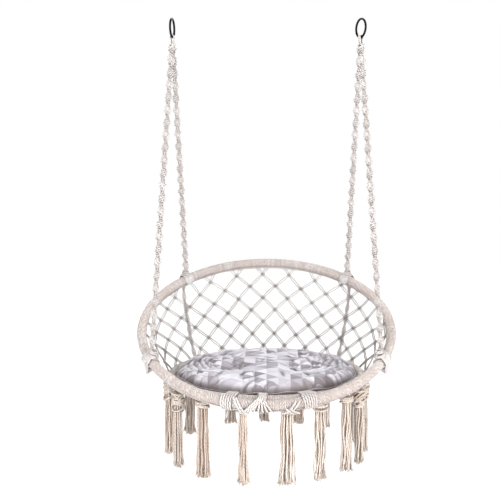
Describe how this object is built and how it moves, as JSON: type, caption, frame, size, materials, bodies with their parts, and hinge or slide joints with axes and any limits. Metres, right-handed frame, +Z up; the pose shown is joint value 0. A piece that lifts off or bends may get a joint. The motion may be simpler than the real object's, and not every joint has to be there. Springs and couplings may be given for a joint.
{
  "type": "hammock chair",
  "caption": "Hanging hammock chair with cord-wrapped hoops, a knotted net back, a round tufted cushion, tassels, and twisted ropes on steel hanging rings.",
  "frame": {"origin": "midway between the two steel hanging rings, level with the inside of their top, where the hooks carry them", "axes": "+Z up, -Y towards the open front of the seat, +X to the right as seen from the front"},
  "size_m": [0.8, 0.7387, 1.3296],
  "materials": {
    "ring": "gloss",
    "steel": "satin",
    "cover": "matte",
    "rope": "matte",
    "net": "matte",
    "tassel": "matte",
    "cushion": "matte"
  },
  "bodies": {
    "hangers": {"hanging_ring_left": "ring", "hanging_ring_right": "ring"},
    "chair": {"seat_hoop": "steel", "rim_hoop": "steel", "seat_cover_right": "cover", "seat_cover_rear": "cover", "seat_cover_left": "cover", "seat_cover_front": "cover", "rim_cover_right": "cover", "rim_cover_rear": "cover", "rim_cover_left": "cover", "rim_cover_front": "cover", "rope_eye_left": "rope", "rope_eye_right": "rope", "rope_front_left": "rope", "rope_front_right": "rope", "rope_rear_left": "rope", "rope_rear_right": "rope", "front_lashing_left": "rope", "front_lashing_right": "rope", "rear_lashing_left": "rope", "rear_lashing_right": "rope", "seat_lashing_left": "rope", "seat_lashing_right": "rope", "rear_tail_left": "rope", "rear_tail_right": "rope", "hoop_lashing_left": "rope", "hoop_lashing_middle": "rope", "hoop_lashing_right": "rope", "back_net_1": "net", "back_net_2": "net", "back_net_3": "net", "back_net_4": "net", "back_net_5": "net", "back_net_6": "net", "back_net_7": "net", "seat_net": "net", "tassel_01": "tassel", "tassel_02": "tassel", "tassel_03": "tassel", "tassel_04": "tassel", "tassel_05": "tassel", "tassel_06": "tassel", "tassel_07": "tassel", "tassel_08": "tassel", "tassel_09": "tassel", "tassel_10": "tassel", "tassel_11": "tassel", "tassel_12": "tassel", "tassel_13": "tassel", "tassel_14": "tassel", "tassel_15": "tassel", "tassel_16": "tassel"},
    "cushion": {"cushion": "cushion"}
  },
  "joints": [
    {"name": "chair_swing", "type": "hinge", "parent": "hangers", "child": "chair", "pos_m": [0, 0, -0.0433], "axis": [1, 0, 0], "range_deg": [-25, 25]},
    {"name": "cushion_lift", "type": "slide", "parent": "chair", "child": "cushion", "axis": [0, 0, 1], "range_m": [0, 0.3]}
  ]
}
